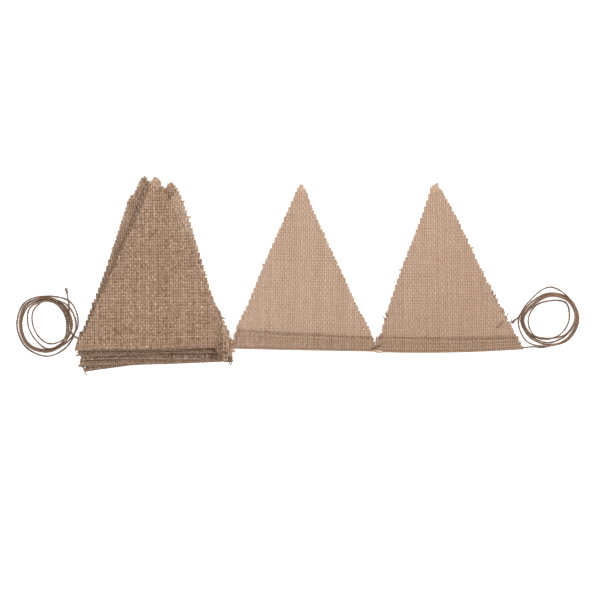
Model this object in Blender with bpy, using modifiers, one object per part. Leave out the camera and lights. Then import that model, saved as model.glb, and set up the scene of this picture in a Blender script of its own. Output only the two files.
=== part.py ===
"""Hessian bunting: nine hemmed triangular pennants on one jute twine, lying on a flat surface.

Two pennants lie open side by side. The other seven are folded back and forth on each other as a
stack at the left, and the twine leaves at each end in a loose coil. +X runs along the twine from
the stack to the open pennants, +Y from the hems to the tips, +Z up from the surface at Z = 0.
Sizes below are millimetres and become metres in the meshes.
"""

import math

import bmesh
import bpy
import numpy as np

METRES = 0.001

# Cloth and twine
CLOTH = 1.0                 # thickness of the hessian
GAP = 0.3                   # clearance kept between touching pieces
TWINE = 1.6                 # diameter of the jute twine
HEM = 15.0                  # depth of the folded hem from the fold to its raw edge
TIP = 5.0                   # width of a pennant's blunt tip

# Section of a hem: the two layers lie LAYERS apart and part round the twine to TURN
LAYERS = CLOTH + GAP
TURN = TWINE + 2.0 * GAP + CLOTH
TWINE_RISE = 0.5 * TURN     # the twine's axis above the middle of the layer it lies on
PART_WIDTH = 9.0            # the layers close again this far from the twine
CREST = 1.5                 # and stay level this far either side of it
STRAY_TO = 0.16             # a straying twine leaves its line at this share of the fold's width

# Spacing of the pennants in the stack
ROOM = 0.2                  # more clearance over a ridge, where the cloth curves
BODY_PITCH = CLOTH + GAP    # from one pennant to the next away from the hems
HEM_PITCH = LAYERS + GAP    # more than that over a hem
TWINE_PITCH = TURN - LAYERS + ROOM
RIDGE_WIDTH = 11.5          # a pennant above comes down this far from the twine below
HEM_RAMP = 62.0             # and in this length above a hem's raw edge
END_RAMP = 21.0             # and in this length past a fold
OVER_HEM = 3.5              # a pennant above stays up this far past a hem's raw edge
OVER_FLAP = 2.0             # and a front over its own flap this far
MAIN_RAMP = 8.0             # then that front comes down in this length

# How far a pennant's rows stand above its fold: along the body as shares of its height, then in mm
BODY_ROWS = (1.0, 0.87, 0.73, 0.6, 0.48)
HEM_ROWS = (66.0, 53.0, 42.0, 33.5, 27.0, 22.0, 18.5, 15.0, 12.0, 9.5, 7.2, 5.2, 3.3)
TURN_STEPS = 4
COLUMNS = (0.0, 0.08, 0.27, 0.46, 0.65, 0.84, 0.93, 1.0)
DROP_COLUMNS = (0.0, 0.08, 0.3, 0.5, 0.7, 0.84, 0.888, 0.906, 0.924, 0.942, 0.96, 1.0)
DROP_FROM = 0.888           # a dropped corner begins at this share of the fold's width
DROP_LENGTH = 0.072         # and is down in this share
DROP_REACH = 40.0           # it pulls the cloth this far above the fold
PROBE = 1.0                 # the slope under a hem is taken over this length

# The pennants in the order in which the twine passes through them, starting at the right.
# tip, left, right: the tip and the two ends of the fold. bow_left, bow_right: how far the raw edges
# swell outwards at a quarter, half and three quarters of the way down. flap: "up" where the hem's
# flap lies on top, "under" where it is below. level: pennants below it in the stack. drop: how far
# the right end of the fold hangs below its line. stray: how far above the fold the twine leaves the
# left end.
PENNANTS = (
    {"name": "pennant_1_right", "tip": (135.0, 90.0), "left": (77.0, -77.8), "right": (223.2, -75.0),
     "bow_left": (0.5, 2.5, 3.0), "bow_right": (2.5, 0.5, 0.5), "fold_bow": 1.8,
     "flap": "up", "level": None, "drop": 0.0, "stray": 0.0},
    {"name": "pennant_2_middle", "tip": (2.2, 88.8), "left": (-64.6, -74.0), "right": (75.2, -77.2),
     "bow_left": (2.5, 4.0, 3.5), "bow_right": (-0.8, 0.8, 1.8), "fold_bow": 0.3,
     "flap": "up", "level": None, "drop": 0.0, "stray": 0.0},
    {"name": "pennant_3_top", "tip": (-143.8, 97.0), "left": (-221.0, -75.2), "right": (-67.4, -73.0),
     "bow_left": (-1.5, -0.5, 0.0), "bow_right": (3.0, 4.0, 2.0), "fold_bow": 1.0,
     "flap": "under", "level": 6, "drop": 14.0, "stray": 0.0},
    {"name": "pennant_4", "tip": (-127.5, 93.3), "left": (-212.5, -70.7), "right": (-70.0, -79.5),
     "bow_left": (0.0, 0.5, 0.0), "bow_right": (3.0, 2.0, 1.0), "fold_bow": 0.0,
     "flap": "up", "level": 5, "drop": 0.0, "stray": 0.0},
    {"name": "pennant_5", "tip": (-149.5, 89.3), "left": (-220.0, -81.7), "right": (-75.5, -78.7),
     "bow_left": (0.5, 1.0, 0.5), "bow_right": (0.5, 0.0, 0.0), "fold_bow": 0.0,
     "flap": "under", "level": 4, "drop": 0.0, "stray": 0.0},
    {"name": "pennant_6", "tip": (-139.0, 88.3), "left": (-218.0, -86.2), "right": (-73.5, -83.7),
     "bow_left": (0.0, 0.5, 1.0), "bow_right": (1.0, 0.5, 0.0), "fold_bow": 0.0,
     "flap": "up", "level": 3, "drop": 0.0, "stray": 0.0},
    {"name": "pennant_7", "tip": (-155.2, 78.8), "left": (-220.5, -92.7), "right": (-74.0, -86.2),
     "bow_left": (1.0, 1.5, 0.5), "bow_right": (0.0, 0.5, 0.5), "fold_bow": 0.0,
     "flap": "under", "level": 2, "drop": 0.0, "stray": 0.0},
    {"name": "pennant_8", "tip": (-167.0, 79.3), "left": (-215.5, -97.2), "right": (-71.5, -76.7),
     "bow_left": (3.0, 4.0, 2.5), "bow_right": (0.0, 0.5, 0.5), "fold_bow": 0.0,
     "flap": "up", "level": 1, "drop": 0.0, "stray": 0.0},
    {"name": "pennant_9_bottom", "tip": (-155.5, 97.8), "left": (-223.5, -73.2), "right": (-77.5, -68.7),
     "bow_left": (1.0, 0.5, 0.0), "bow_right": (0.0, 0.5, 0.5), "fold_bow": 0.0,
     "flap": "under", "level": 0, "drop": 0.0, "stray": 7.5},
)
STACK = sorted((row for row in PENNANTS if row["level"] is not None), key=lambda row: row["level"])

# The middle pennant's left end is held up by the twine, which comes from the top of the stack
LIFT = 20.5                 # its height at the end of the fold
LIFT_LENGTH = 112.0         # how far along the fold it comes down
LIFT_FADE = 105.0           # and how far towards the tip

# Twine outside the hems
LOOP_REACH = 2.6            # how far the twine swings out past the hems where it turns back
LOOP_STEPS = 4
TWINE_INSET = 3.5           # the tails' leads begin this far inside the outer hems

# The coils: centre, and the radii and height of the ring that the turns fill
COILS = (
    {"name": "tail_left_coil", "centre": (-251.7, -51.3), "inner": 14.8, "outer": 31.2, "height": 5.4},
    {"name": "tail_right_coil", "centre": (249.2, -45.6), "inner": 16.0, "outer": 29.8, "height": 5.4},
)
COIL_STEPS = 36
COIL_SIDES = 12
SEAM = 0.00005              # the turned ring's ends join within this, in metres

# The tails outside the rings: routes as x, y and z, ending at the frayed ends or at the rings
LEFT_END = ((-229.7, -27.4, 2.2), (-230.4, -23.6, 1.8), (-231.6, -19.6, 1.2), (-233.0, -15.4, 0.95))
RIGHT_END = ((218.3, -45.4, 2.0), (216.8, -46.2, 1.5), (214.9, -47.3, 1.1), (213.2, -48.1, 0.95))
LEFT_LEAD_TURN = (-221.0, -63.8, 2.0)
RIGHT_LEAD_TURNS = ((226.2, -73.0, 1.5), (230.0, -72.6, 1.3), (233.6, -72.2, 1.4))


def smooth(t):
    """0 below 0, 1 above 1 and an even S between them."""
    t = np.clip(t, 0.0, 1.0)
    return t * t * (3.0 - 2.0 * t)


def ridge(offset, half_width):
    """1 within CREST of offset 0, falling as a raised cosine to 0 at half_width either side."""
    past = (np.abs(offset) - CREST) / (half_width - CREST)
    return 0.5 + 0.5 * np.cos(math.pi * np.clip(past, 0.0, 1.0))


def swell(v, quarters):
    """A smooth curve through 0 at both ends and the three given values at the quarter points."""
    knots = np.array((0.0, 0.25, 0.5, 0.75, 1.0))
    values = (0.0, *quarters, 0.0)
    total = np.zeros_like(v)
    for index, value in enumerate(values):
        others = np.delete(knots, index)
        total += value * np.prod([(v - other) / (knots[index] - other) for other in others], axis=0)
    return total


def fold_axes(row):
    """The fold's left end, its width, the unit vector along it and the one towards the tip."""
    left = np.array(row["left"])
    along = np.array(row["right"]) - left
    width = np.hypot(*along)
    along = along / width
    return left, width, along, np.array((-along[1], along[0]))


def corner_drop(row, u):
    """How far the fold's right end hangs, at the share u of its width."""
    return row["drop"] * smooth((u - DROP_FROM) / DROP_LENGTH)


def fold_drop(row, u):
    """How far the fold lies below the straight line between its ends, at the share u of its width."""
    return row["fold_bow"] * 4.0 * u * (1.0 - u) + corner_drop(row, u)


def twine_height(row, u):
    """How far the twine lies above the fold, at the share u of the fold's width."""
    return 0.5 * TURN + corner_drop(row, u) + row["stray"] * smooth((STRAY_TO - u) / STRAY_TO)


def hem_spacing(row, u, above_fold):
    """The distance between the middles of a hem's two layers: LAYERS, more round the twine."""
    return LAYERS + (TURN - LAYERS) * ridge(above_fold - twine_height(row, u), PART_WIDTH)


def lift(x, y):
    """How far the middle pennant's left end is held off the surface."""
    left, _, _, _ = fold_axes(PENNANTS[1])
    near = np.clip(1.0 - (x - left[0]) / LIFT_LENGTH, 0.0, 1.2)
    return LIFT * near**2 * (1.0 - smooth((y - left[1] - HEM) / LIFT_FADE))


def support(row, x, y):
    """The height of what a pennant lies on: the sum of what each pennant below it adds there.

    One below adds its pitch over its body, more over its hem and a ridge over its twine, and all of
    it fades past its fold.
    """
    if row["level"] is None:
        return lift(x, y) if row is PENNANTS[1] else np.zeros_like(x)
    height = np.zeros_like(x)
    for lower in STACK[: row["level"]]:
        left, width, along, up = fold_axes(lower)
        u = ((x - left[0]) * along[0] + (y - left[1]) * along[1]) / width
        above = (x - left[0]) * up[0] + (y - left[1]) * up[1]
        here = smooth((above + END_RAMP + GAP) / END_RAMP)
        over_hem = 1.0 - smooth((above - HEM - OVER_HEM) / HEM_RAMP)
        over_twine = ridge(above - twine_height(lower, np.clip(u, 0.0, 1.0)), RIDGE_WIDTH)
        height += here * (BODY_PITCH + HEM_PITCH * over_hem) + TWINE_PITCH * over_twine
    return height


def tilt(row, x, y):
    """The cosine and sine of the support's slope towards the tip."""
    _, _, _, up = fold_axes(row)
    reach = 0.5 * PROBE * up
    rise = support(row, x + reach[0], y + reach[1]) - support(row, x - reach[0], y - reach[1])
    slope = rise / PROBE
    cosine = 1.0 / np.sqrt(1.0 + slope**2)
    return cosine, slope * cosine


def in_plane(row, u, above_line):
    """X and Y of the point at the share u across a pennant, at a height above its fold's line."""
    left, width, along, up = fold_axes(row)
    tip = np.array(row["tip"]) - left
    tip_along, tall = tip @ along, tip @ up
    v = 1.0 - np.clip(above_line / tall, 0.0, 1.0)
    share = above_line / tall
    edge_left = (tip_along - 0.5 * TIP) * share - swell(v, row["bow_left"])
    edge_right = width + (tip_along + 0.5 * TIP - width) * share + swell(v, row["bow_right"])
    across = edge_left + (edge_right - edge_left) * u
    x = left[0] + along[0] * across + up[0] * above_line
    y = left[1] + along[1] * across + up[1] * above_line
    return x, y


def pennant_rows(row):
    """Each row as (height above the fold, layer): the body, the turn round the twine, the flap.

    A height is in mm. The turn's rows hold their angle in radians instead, from 0 to pi.
    """
    _, _, _, up = fold_axes(row)
    tall = (np.array(row["tip"]) - np.array(row["left"])) @ up
    body = [(share * tall, "front") for share in BODY_ROWS] + [(height, "front") for height in HEM_ROWS]
    turn = [(math.pi * step / TURN_STEPS, "turn") for step in range(TURN_STEPS + 1)]
    flap = [(height, "flap") for height in reversed(HEM_ROWS) if height <= HEM]
    return body + turn + flap


def pennant_points(row):
    """The middle of a pennant's cloth as an array of points, rows by columns by x, y and z."""
    u = np.array(DROP_COLUMNS if row["drop"] else COLUMNS)
    _, _, _, up = fold_axes(row)
    drop = fold_drop(row, u)
    flap_up = row["flap"] == "up"
    points = []
    for value, layer in pennant_rows(row):
        beyond = np.zeros_like(u)
        if layer == "turn":
            radius = 0.5 * hem_spacing(row, u, 0.5 * TURN)
            above_line = radius - drop
            beyond = radius * math.sin(value)
            turned = radius * (1.0 - math.cos(value))
            rise = turned if flap_up else 2.0 * radius - turned
        else:
            above_line = value - drop * np.clip(1.0 - value / DROP_REACH, 0.0, 1.0)
            apart = hem_spacing(row, u, above_line + drop)
            if layer == "front":
                over_flap = 1.0 - smooth((above_line - HEM - OVER_FLAP) / MAIN_RAMP)
                rise = np.zeros_like(u) if flap_up else apart * over_flap
            else:
                rise = apart if flap_up else np.zeros_like(u)
        x, y = in_plane(row, u, above_line)
        cosine, sine = tilt(row, x, y)
        shift = -beyond * cosine - rise * sine
        z = support(row, x, y) + 0.5 * CLOTH - beyond * sine + rise * cosine
        points.append(np.stack((x + up[0] * shift, y + up[1] * shift, z), axis=1))
    return np.array(points)


def fabric(name, colour, roughness):
    """A plain matt cloth or cord material."""
    material = bpy.data.materials.new(name)
    material.use_nodes = True
    shader = material.node_tree.nodes["Principled BSDF"]
    shader.inputs["Base Color"].default_value = (*colour, 1.0)
    shader.inputs["Roughness"].default_value = roughness
    shader.inputs["Metallic"].default_value = 0.0
    return material


def link(obj, collection, material):
    """Puts a finished object into the bunting's collection with its material."""
    obj.data.materials.append(material)
    collection.objects.link(obj)


def pennant(row, collection, material):
    """One pennant: its cloth's middle surface from a grid, thickened."""
    points = pennant_points(row)
    rows, columns, _ = points.shape
    grid = bmesh.new()
    bmesh.ops.create_grid(grid, x_segments=columns - 1, y_segments=rows - 1, size=0.5)
    for vertex in grid.verts:
        column = round((vertex.co.x + 0.5) * (columns - 1))
        line = round((0.5 - vertex.co.y) * (rows - 1))
        vertex.co = points[line, column] * METRES
    if row["flap"] == "under":
        bmesh.ops.reverse_faces(grid, faces=grid.faces[:])
    mesh = bpy.data.meshes.new(row["name"])
    grid.to_mesh(mesh)
    grid.free()
    obj = bpy.data.objects.new(row["name"], mesh)
    thickness = obj.modifiers.new("Cloth", "SOLIDIFY")
    thickness.thickness = CLOTH * METRES
    thickness.offset = 0.0
    thickness.use_even_offset = True
    link(obj, collection, material)


def channel(row, shares):
    """The twine's axis inside a hem at the given shares of its width, as points."""
    u = np.array(shares)
    _, _, _, up = fold_axes(row)
    x, y = in_plane(row, u, twine_height(row, u) - fold_drop(row, u))
    cosine, sine = tilt(row, x, y)
    z = support(row, x, y) + 0.5 * CLOTH + TWINE_RISE * cosine
    shift = -TWINE_RISE * sine
    return np.stack((x + up[0] * shift, y + up[1] * shift, z), axis=1)


def turn_back(start, end, outward):
    """The twine's swing from the end of one hem to the next: a half ellipse past both ends."""
    steps = np.arange(1, LOOP_STEPS) / LOOP_STEPS
    points = start + (end - start) * (0.5 - 0.5 * np.cos(math.pi * steps))[:, None]
    reach = max(start[0] * outward, end[0] * outward)
    points[:, 0] = outward * (reach + LOOP_REACH * np.sin(math.pi * steps))
    return points


def twine_route():
    """The twine's axis through all nine hems, from the right hem's mouth to the left tail's lead."""
    route = []
    for index, row in enumerate(PENNANTS):
        leftward = row["level"] is None or row["level"] % 2 == 0
        shares = DROP_COLUMNS if row["drop"] else COLUMNS
        inside = channel(row, shares[::-1] if leftward else shares)
        if index == 0:
            inside[0, 0] -= TWINE_INSET
        if index == len(PENNANTS) - 1:
            inside[-1, 0] += TWINE_INSET
        if row["level"] is not None and row is not STACK[-1]:
            route.extend(turn_back(route[-1], inside[0], 1.0 if leftward else -1.0))
        route.extend(inside)
    return np.array(route)


def tube(name, points, collection, material):
    """A cord: a tube of the twine's diameter along the given points, with closed ends."""
    curve = bpy.data.curves.new(name, "CURVE")
    curve.dimensions = "3D"
    curve.bevel_depth = 0.5 * TWINE * METRES
    curve.bevel_resolution = 2
    curve.use_fill_caps = True
    spline = curve.splines.new("POLY")
    spline.points.add(len(points) - 1)
    for place, point in zip(spline.points, points):
        place.co = (*(np.array(point) * METRES), 1.0)
    link(bpy.data.objects.new(name, curve), collection, material)


def coil(row, collection, material):
    """A coil's outer shape: a turned ring with an oval section, lying on the surface."""
    middle = 0.5 * (row["inner"] + row["outer"])
    half_width = 0.5 * (row["outer"] - row["inner"])
    half_height = 0.5 * row["height"]
    mesh = bpy.data.meshes.new(row["name"])
    section = bmesh.new()
    corners = []
    for step in range(COIL_SIDES):
        angle = math.pi / 2.0 - 2.0 * math.pi * (step + 0.5) / COIL_SIDES
        x = middle + half_width * math.cos(angle)
        z = half_height * math.sin(angle) / math.sin(math.pi / 2.0 - math.pi / COIL_SIDES)
        corners.append(section.verts.new((x * METRES, 0.0, (z + half_height) * METRES)))
    for corner, following in zip(corners, corners[1:] + corners[:1]):
        section.edges.new((corner, following))
    section.to_mesh(mesh)
    section.free()
    obj = bpy.data.objects.new(row["name"], mesh)
    obj.location = (row["centre"][0] * METRES, row["centre"][1] * METRES, 0.0)
    turning = obj.modifiers.new("Turned", "SCREW")
    turning.steps = COIL_STEPS
    turning.render_steps = COIL_STEPS
    turning.use_merge_vertices = True
    turning.merge_threshold = SEAM
    turning.use_smooth_shade = True
    link(obj, collection, material)


def main():
    for obj in list(bpy.data.objects):
        bpy.data.objects.remove(obj, do_unlink=True)
    collection = bpy.data.collections.new("hessian_bunting")
    bpy.context.scene.collection.children.link(collection)
    hessian = fabric("hessian", (0.42, 0.30, 0.21), 0.9)
    jute = fabric("jute_twine", (0.22, 0.15, 0.10), 0.85)

    for row in PENNANTS:
        pennant(row, collection, hessian)

    route = twine_route()
    tube("twine", route, collection, jute)
    right_mouth = channel(PENNANTS[0], (1.0,))[0] - (TWINE_INSET - 2.0 * GAP, 0.0, 0.0)
    left_mouth = channel(PENNANTS[-1], (0.0,))[0] + (TWINE_INSET - 2.0 * GAP, 0.0, 0.0)
    tube("tail_left_lead", (left_mouth, LEFT_LEAD_TURN), collection, jute)
    tube("tail_right_lead", (right_mouth, *RIGHT_LEAD_TURNS), collection, jute)
    for row in COILS:
        coil(row, collection, jute)
    tube("tail_left_end", LEFT_END, collection, jute)
    tube("tail_right_end", RIGHT_END, collection, jute)


main()
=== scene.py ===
"""Looks of the hessian bunting: woven pennants, twisted jute twine, a pale floor and soft light.

Every pennant is woven yarn by yarn on the surface in which its cloth lies, and the twine is laid in
its real length, with a loose coil at each end. Sizes are millimetres, in the frame of the solids,
and become metres when a mesh is made.
"""

import math

import bpy
import numpy as np
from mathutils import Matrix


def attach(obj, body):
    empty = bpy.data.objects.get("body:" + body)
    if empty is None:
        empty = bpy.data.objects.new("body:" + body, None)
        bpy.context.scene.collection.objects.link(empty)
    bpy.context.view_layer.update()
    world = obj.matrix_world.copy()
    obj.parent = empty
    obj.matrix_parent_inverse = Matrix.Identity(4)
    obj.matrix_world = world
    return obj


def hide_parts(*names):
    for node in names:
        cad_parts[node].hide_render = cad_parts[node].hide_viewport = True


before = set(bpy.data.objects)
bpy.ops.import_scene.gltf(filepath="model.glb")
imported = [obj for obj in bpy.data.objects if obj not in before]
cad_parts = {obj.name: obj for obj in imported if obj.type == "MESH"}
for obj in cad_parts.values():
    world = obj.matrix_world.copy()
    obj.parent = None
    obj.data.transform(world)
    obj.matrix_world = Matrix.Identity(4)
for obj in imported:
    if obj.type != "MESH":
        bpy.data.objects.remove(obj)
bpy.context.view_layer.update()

METRES = 0.001
SEED = 7

# The picture's frame: its middle and width on the floor, and the camera's height above it
VIEW_MIDDLE = (0.5, -25.7)
VIEW_WIDTH = 600.0
VIEW_HEIGHT = 3000.0
SENSOR = 36.0

# Cloth and twine, as in the solids
CLOTH = 1.0                 # thickness of the hessian
GAP = 0.3                   # clearance between touching pieces
TWINE = 1.6                 # diameter of the twine in the hems
HEM = 15.0                  # depth of the folded hem
TIP = 5.0                   # width of a pennant's blunt tip
LAYERS = CLOTH + GAP        # from the middle of one layer of a hem to the other's
TURN = TWINE + 2.0 * GAP + CLOTH    # and the same round the twine
TWINE_RISE = 0.5 * TURN     # the twine's axis above the middle of the layer it lies on
PART_WIDTH = 9.0            # the layers close again this far from the twine
CREST = 1.5                 # and stay level this far either side of it
STRAY_TO = 0.16             # a straying twine leaves its line at this share of the fold's width
ROOM = 0.2                  # more clearance over a ridge
BODY_PITCH = CLOTH + GAP    # from one pennant to the next away from the hems
HEM_PITCH = LAYERS + GAP    # more than that over a hem
TWINE_PITCH = TURN - LAYERS + ROOM  # and more again over the twine
RIDGE_WIDTH = 11.5          # a pennant above comes down this far from the twine below
HEM_RAMP = 62.0             # and in this length above a hem's raw edge
END_RAMP = 21.0             # and in this length past a fold
OVER_HEM = 3.5              # a pennant above stays up this far past a hem's raw edge
OVER_FLAP = 2.0             # and a front over its own flap this far
MAIN_RAMP = 8.0             # then that front comes down in this length
DROP_FROM = 0.888           # a dropped corner begins at this share of the fold's width
DROP_LENGTH = 0.072         # and is down in this share
DROP_REACH = 40.0           # it pulls the cloth this far above the fold
PROBE = 1.0                 # the slope under a hem is taken over this length
LIFT = 20.5                 # how far the middle pennant's left end is held up
LIFT_LENGTH = 112.0         # it comes down in this length along the fold
LIFT_FADE = 105.0           # and in this length from the hem towards the tip
LOOP_REACH = 1.6            # how far the twine swings out between two hems of the stack
MOUTH = 0.02                # it turns back this share of a hem's width inside each mouth of the stack
LOOP_STEPS = 6              # steps in each of those swings
TWINE_INSET = 3.5           # its ends lie this far inside the first and the last mouth

# What pennants share: all of them, the three that are seen whole, and those that lie below
USUAL = {"fold_bow": 0.0, "drop": 0.0, "stray": 0.0, "hem": (15.0, 15.0), "reach": (0.0, 0.0),
         "belly": (0.0, 0.0), "point": (1.8, 6.0)}
SEEN = {**USUAL, "sides": 6, "rings": 2, "ends": 4, "hairs": 900}
BELOW = {**USUAL, "sides": 4, "rings": 1, "ends": 2, "hairs": 160, "widths": (2.06, 1.5),
         "tone": (-0.12, -0.12, -0.12), "speckle": 0.1, "uneven": 0.35}

# Each pennant, in the order in which the twine passes through them. As in the solids: tip, left,
# right: the tip and the two ends of the fold. bow_left, bow_right: how far the cut sides swell
# outwards at a quarter, half and three quarters of the way down. fold_bow: how far the fold lies
# below the line between its ends. flap: "up" where the hem's flap lies on top, "under" where it is
# below. level: pennants below it in the stack. drop: how far the right end of the fold hangs. stray:
# how far above the fold the twine leaves the left end. For the looks: sides: how round its yarns are.
# rings: how many rings they have at a crossing. ends: the loose fibres at a yarn's end. hairs: the
# fine fibres on it. widths: how wide its long and its cross yarns are. tone: how pale its cloth is at
# the tip, at the fold and on the flap. speckle: how much that differs from one crossing to the next.
# uneven: how far its yarns stray from even places and widths. hem: the flap's height at its left and
# right ends. reach: how far the hem's ends stand out past the fold's ends. belly: how far the sides
# are pulled out above that. flare: how far the flap's sides reach past that at its raw edge. point:
# how far each side draws in at the tip, and over what height.
PENNANTS = (
    # The right and middle pennants lie in one layer: their fronts' tones are raised as painted light, the
    # glow of light through that layer; their flaps' tones are not
    {**SEEN, "name": "pennant_1_right", "tip": (135.0, 90.0), "left": (77.0, -77.8),
     "right": (223.2, -75.0), "bow_left": (0.5, 2.5, 3.0), "bow_right": (2.5, 0.5, 0.5), "fold_bow": 1.8,
     "flap": "up", "level": None, "widths": (2.12, 1.48), "tone": (0.05, -0.06, -0.17), "speckle": 0.025,
     "uneven": 0.25, "hem": (15.5, 12.5), "reach": (1.2, 0.3), "flare": (-1.0, -5.0)},
    {**SEEN, "name": "pennant_2_middle", "tip": (2.2, 88.8), "left": (-64.6, -74.0),
     "right": (75.2, -77.2), "bow_left": (2.5, 4.0, 3.5), "bow_right": (-0.8, 0.8, 1.8), "fold_bow": 0.3,
     "flap": "up", "level": None, "widths": (2.13, 1.48), "tone": (0.075, 0.015, -0.155),
     "speckle": 0.025, "uneven": 0.25, "hem": (18.5, 14.0), "reach": (2.0, 0.2), "belly": (3.5, 3.0),
     "flare": (-5.5, -2.0)},
    {**SEEN, "name": "pennant_3_top", "tip": (-143.8, 97.0), "left": (-221.0, -75.2),
     "right": (-67.4, -73.0), "bow_left": (-1.5, -0.5, 0.0), "bow_right": (3.0, 4.0, 2.0),
     "fold_bow": 1.0, "flap": "under", "level": 6, "drop": 14.0, "widths": (1.84, 1.72),
     "tone": (-0.11, -0.17, -0.17), "speckle": 0.12, "uneven": 0.55, "reach": (2.0, -0.8),
     "belly": (0.5, 6.0), "flare": (-4.5, 0.3), "point": (2.2, 5.0)},
    # Its tone falls towards the fold and most on its flap: painted shade for the shadow under the top
    # pennant's raised hem
    {**BELOW, "name": "pennant_4", "tip": (-127.5, 93.3), "left": (-212.5, -70.7),
     "right": (-70.0, -79.5), "bow_left": (0.0, 0.5, 0.0), "bow_right": (3.0, 2.0, 1.0), "flap": "up",
     "level": 5, "rings": 2, "ends": 3, "widths": (2.13, 1.5), "tone": (0.08, -0.19, -0.48),
     "uneven": 0.3, "flare": (1.0, 0.0), "point": (4.0, 11.0), "hairs": 240},
    {**BELOW, "name": "pennant_5", "tip": (-149.5, 89.3), "left": (-220.0, -81.7),
     "right": (-75.5, -78.7), "bow_left": (0.5, 1.0, 0.5), "bow_right": (0.5, 0.0, 0.0), "flap": "under",
     "level": 4, "reach": (2.0, 0.0), "flare": (-2.5, 0.0)},
    {**BELOW, "name": "pennant_6", "tip": (-139.0, 88.3), "left": (-218.0, -86.2),
     "right": (-73.5, -83.7), "bow_left": (0.0, 0.5, 1.0), "bow_right": (1.0, 0.5, 0.0), "flap": "up",
     "level": 3, "flare": (-1.5, 0.0)},
    {**BELOW, "name": "pennant_7", "tip": (-155.2, 78.8), "left": (-220.5, -92.7),
     "right": (-74.0, -86.2), "bow_left": (1.0, 1.5, 0.5), "bow_right": (0.0, 0.5, 0.5), "flap": "under",
     "level": 2, "flare": (-4.0, 0.0)},
    {**BELOW, "name": "pennant_8", "tip": (-167.0, 79.3), "left": (-215.5, -97.2),
     "right": (-71.5, -76.7), "bow_left": (3.0, 4.0, 2.5), "bow_right": (0.0, 0.5, 0.5), "flap": "up",
     "level": 1, "flare": (-3.0, 0.0)},
    {**BELOW, "name": "pennant_9_bottom", "tip": (-155.5, 97.8), "left": (-223.5, -73.2),
     "right": (-77.5, -68.7), "bow_left": (1.0, 0.5, 0.0), "bow_right": (0.0, 0.5, 0.5), "flap": "under",
     "level": 0, "stray": 7.5, "tone": (-0.1, -0.1, -0.1), "reach": (0.3, 0.0), "flare": (-4.5, 0.0),
     "point": (2.3, 9.0)},
)
STACK = sorted((row for row in PENNANTS if row["level"] is not None), key=lambda row: row["level"])
MIDDLE = PENNANTS[1]        # the one whose left end hangs from the stack

# The weave. Long yarns run from the tip to the hem and cross yarns from side to side.
LONG_PITCH = 2.2            # from one long yarn to the next
CROSS_PITCH = 3.0           # from one cross yarn to the next
LONG_THICK = 0.46           # how thick a long yarn is
CROSS_THICK = 0.42
CRIMP = 0.215               # how far a yarn rises over the one that it crosses, and dips under it
CRIMP_FLAT = 0.23           # it stays level over this share of the pitch either side of the crossing
FRAY = 0.4                  # a yarn's end stands about this far past the cut edge
TIP_FRAY = 1.6              # and this far at the tip
HEM_FRAY = 1.1              # and this far at a hem's ends
CUT_FRAY = 1.0              # what fray adds to a pennant's flat width
PULLED = 0.05               # the share of yarns that are pulled out of the edge
PULLED_OUT = 2.6            # and how far at most
EDGE_SHADE = 0.12           # how much darker the flap's raw edge is: painted shade along that edge
EDGE_SHADE_FROM = 2.6       # from how far below it
EDGE_SHADE_RAMP = 1.8       # and over what length that comes in
FLAP_OPEN = 0.91            # times as wide are the long yarns of the flap, so that its gaps show
FLAP_SPECKLE = 1.8          # times the speckle there
TIP_PALE = 0.16             # how much paler the cloth is at the very tip
TIP_PALE_TO = 9.0           # and how far down that fades out
END_TAPER = 0.45            # how wide a yarn is at its end, times its usual width

# How uneven a yarn is: the lengths of the waves in which it strays, thickens and pales, how much it
# does so in them, and how much all of it differs from the next yarn
STRAY_WAVES = (31.0, 57.0, 110.0)
STRAY = 0.20
STRAY_STEP = 0.15
SLUB_WAVES = (9.0, 23.0, 61.0)
SLUB = 0.12
SLUB_STEP = 0.07
TONE_WAVES = (13.0, 47.0, 90.0)
TONE_WAVE = 0.045
LONG_UNEVEN = 0.085         # a long yarn's tone from the next
CROSS_UNEVEN = 0.03
TONE_UNEVEN = 1.15          # all of a yarn's tone changes, times how unevenly the pennant is woven

BELLY_AT = 20.0             # where the sides are pulled out most, above the fold
BELLY_SPREAD = 30.0         # and how far above and below that
DENSE = 0.32                # how much wider crowded yarns are, at the tip and at sides pulled out
TIP_DENSE_TO = 13.0         # how far below the tip they're crowded

# Loose fibres
LONG_TUFT = 2.6             # the longest fibre at a long yarn's end
CROSS_TUFT = 2.8            # and at a cross yarn's end
TUFT_WIDTH = 0.16
TUFT_SPLAY = 0.55           # how far it turns aside, for each 1 that it runs on
HAIR_WIDTH = 0.11           # the fine fibres on the faces of the cloth
TWINE_HAIR_WIDTH = 0.12     # and along a tail of the twine
TWINE_HAIRS = 300           # how many a tail has
END_FIBRES = 26             # the fibres of a tail's frayed end
END_FIBRE_WIDTH = 0.55
END_TUFT = (0.6, 5.4)       # they begin this far before its end, from the nearest to the farthest

# The hem's stitches
STITCH_INSET = 3.2          # how far they lie below the flap's raw edge
STITCH_WANDER = 0.35        # how far their line strays from that
STITCH_WAVES = (37.0, 83.0)
STITCH_PITCH = 3.4          # from one stitch to the next
STITCH_LENGTH = 2.7
STITCH_WIDTH = 0.45
STITCH_RUN = (0.0, 0.18, 0.82, 1.0)     # its corners along it, as shares of its length
STITCH_RISE = (0.15, 0.62, 0.62, 0.15)  # and their heights over the middle of the cloth
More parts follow.
